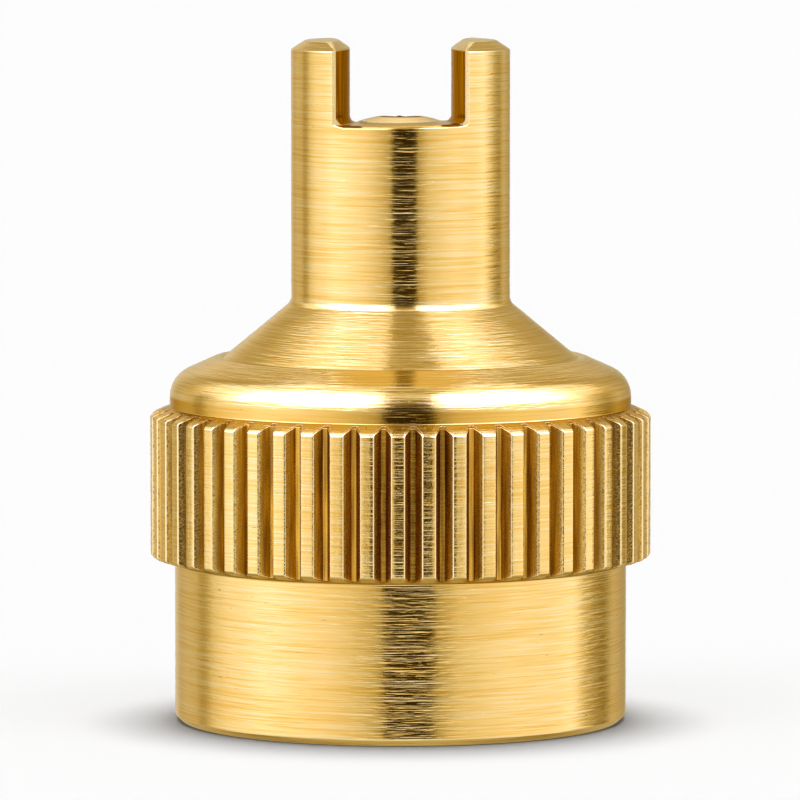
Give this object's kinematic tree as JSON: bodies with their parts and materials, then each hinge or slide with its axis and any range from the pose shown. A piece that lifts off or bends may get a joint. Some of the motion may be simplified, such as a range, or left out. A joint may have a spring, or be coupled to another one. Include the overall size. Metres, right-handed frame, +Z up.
{
  "type": "tyre valve cap",
  "caption": "Turned brass cap that screws onto a tyre valve: a round skirt, a straight-knurled grip, a domed shoulder and a slotted neck whose prongs turn the valve core.",
  "frame": {"origin": "centre of the flat rim round the mouth, where the cap stands", "axes": "+Z up the cap's axis from the mouth to the fork; the slot between the prongs runs along Y, so the prongs stand at +X and -X"},
  "size_m": [0.011, 0.011, 0.015],
  "materials": {
    "brass": "turned, fine lathe lines, bright",
    "rubber": "matt black"
  },
  "bodies": {
    "root": {"cap_body": "brass", "sealing_washer": "rubber"}
  },
  "joints": []
}
